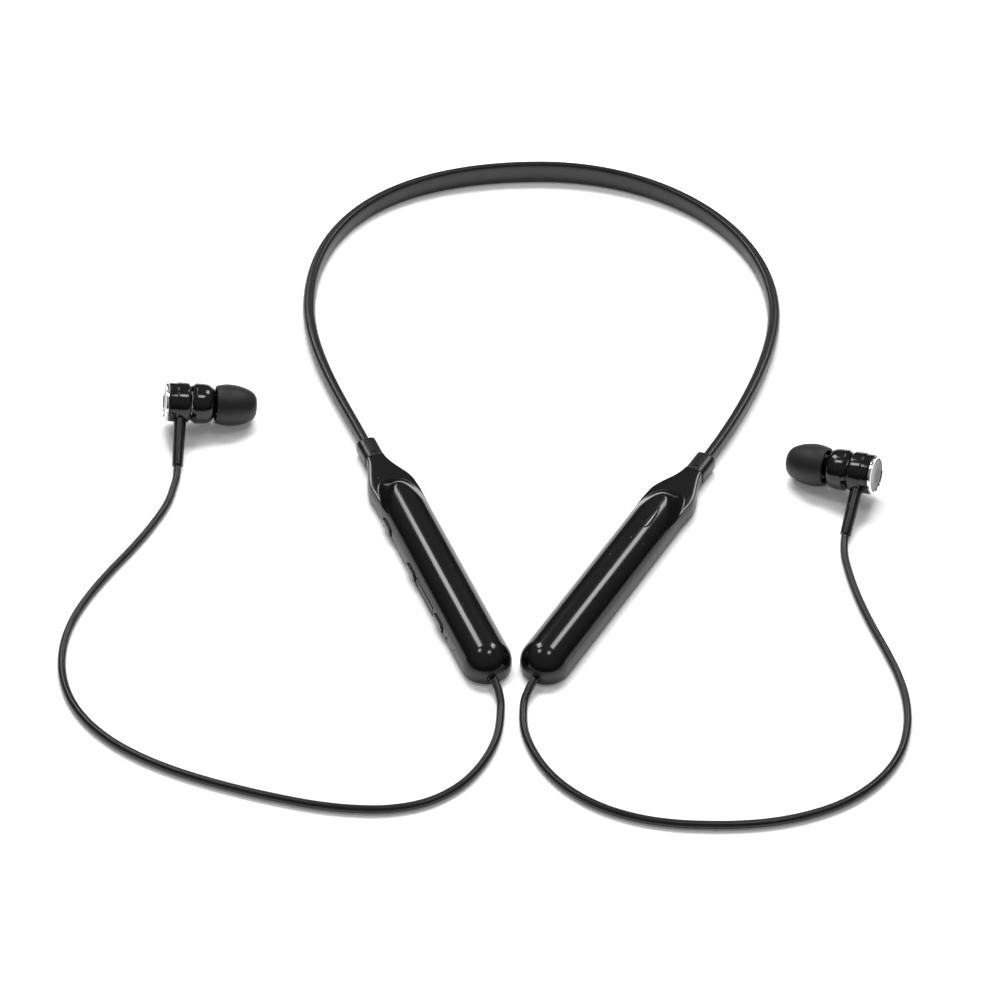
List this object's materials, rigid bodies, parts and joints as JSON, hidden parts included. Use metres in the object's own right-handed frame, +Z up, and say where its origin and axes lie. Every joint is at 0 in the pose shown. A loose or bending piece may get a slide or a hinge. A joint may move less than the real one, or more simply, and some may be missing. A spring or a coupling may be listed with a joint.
{
  "type": "neckband earphones",
  "caption": "Sprung silicone neckband ending in two slim pods, with corded in-ear earbuds, side buttons and a flap-covered charging port",
  "frame": {"origin": "middle of the bounding box of everything but the cords, on the surface the set lies on", "axes": "+Y runs from the pods up to the crown of the neckband, +X is to the right as the set lies, +Z is up out of the surface"},
  "size_m": [0.206, 0.2385, 0.014],
  "materials": {
    "foam": "closed-cell foam tape",
    "battery_foil": "laminated pouch foil",
    "button_plastic": "semi-gloss moulded black",
    "chip_resin": "moulded epoxy",
    "switch_metal": "stamped plated sheet",
    "gloss_shell": "high-gloss injection moulded black",
    "satin_shell": "satin moulded black",
    "cord_sheath": "satin elastomer sheath",
    "steel": "plain steel",
    "tip_silicone": "matte soft silicone",
    "polished_ring": "bright plated metal",
    "lens": "smoked polished acrylic",
    "circuit_board": "solder-masked glass laminate",
    "band_silicone": "smooth soft-touch silicone"
  },
  "bodies": {
    "neckband": {"antenna": "foam", "battery_cell": "battery_foil", "battery_foam": "foam", "charge_chip": "chip_resin", "charging_socket": "switch_metal", "left_back_disc": "gloss_shell", "left_collar": "satin_shell", "left_cord": "cord_sheath", "left_cord_gland": "cord_sheath", "left_driver": "steel", "left_front_housing": "button_plastic", "left_lower_shell": "satin_shell", "left_nozzle_mesh": "steel", "left_rear_housing": "button_plastic", "left_strain_relief": "cord_sheath", "left_trim_ring": "polished_ring", "left_upper_cover": "gloss_shell", "light_pipe": "lens", "link_harness": "cord_sheath", "main_board": "circuit_board", "microphone": "switch_metal", "neckband_sleeve": "band_silicone", "protection_board": "circuit_board", "radio_chip": "chip_resin", "right_back_disc": "gloss_shell", "right_collar": "satin_shell", "right_cord": "cord_sheath", "right_cord_gland": "cord_sheath", "right_driver": "steel", "right_front_housing": "button_plastic", "right_lower_shell": "satin_shell", "right_nozzle_mesh": "steel", "right_rear_housing": "button_plastic", "right_strain_relief": "cord_sheath", "right_trim_ring": "polished_ring", "right_upper_cover": "gloss_shell", "spring_wire": "steel", "status_led": "lens", "status_window": "lens", "tact_switch_multifunction": "switch_metal", "tact_switch_volume_down": "switch_metal", "tact_switch_volume_up": "switch_metal", "vibration_motor": "steel"},
    "button_volume_up": {"button_volume_up": "button_plastic", "switch_plunger_volume_up": "chip_resin"},
    "button_multifunction": {"button_multifunction": "button_plastic", "switch_plunger_multifunction": "chip_resin"},
    "button_volume_down": {"button_volume_down": "button_plastic", "switch_plunger_volume_down": "chip_resin"},
    "flap": {"port_flap": "tip_silicone"},
    "left_tip": {"left_ear_tip": "tip_silicone"},
    "right_tip": {"right_ear_tip": "tip_silicone"}
  },
  "joints": [
    {"name": "volume_up_press", "type": "slide", "parent": "neckband", "child": "button_volume_up", "axis": [0.9259, 0.3778, 0], "range_m": [0, 0.00035], "stiffness_N_per_m": 4500},
    {"name": "multifunction_press", "type": "slide", "parent": "neckband", "child": "button_multifunction", "axis": [0.9259, 0.3778, 0], "range_m": [0, 0.00035], "stiffness_N_per_m": 4500},
    {"name": "volume_down_press", "type": "slide", "parent": "neckband", "child": "button_volume_down", "axis": [0.9259, 0.3778, 0], "range_m": [0, 0.00035], "stiffness_N_per_m": 4500},
    {"name": "port_flap_hinge", "type": "hinge", "parent": "neckband", "child": "flap", "pos_m": [-0.02088, -0.0743, 0.0026], "axis": [0, 0, 1], "range_deg": [0, 95]},
    {"name": "left_tip_pull", "type": "slide", "parent": "neckband", "child": "left_tip", "axis": [0.9748, 0.1208, -0.1875], "range_m": [0, 0.012]},
    {"name": "right_tip_pull", "type": "slide", "parent": "neckband", "child": "right_tip", "axis": [-0.8889, 0.4171, -0.1896], "range_m": [0, 0.012]}
  ]
}
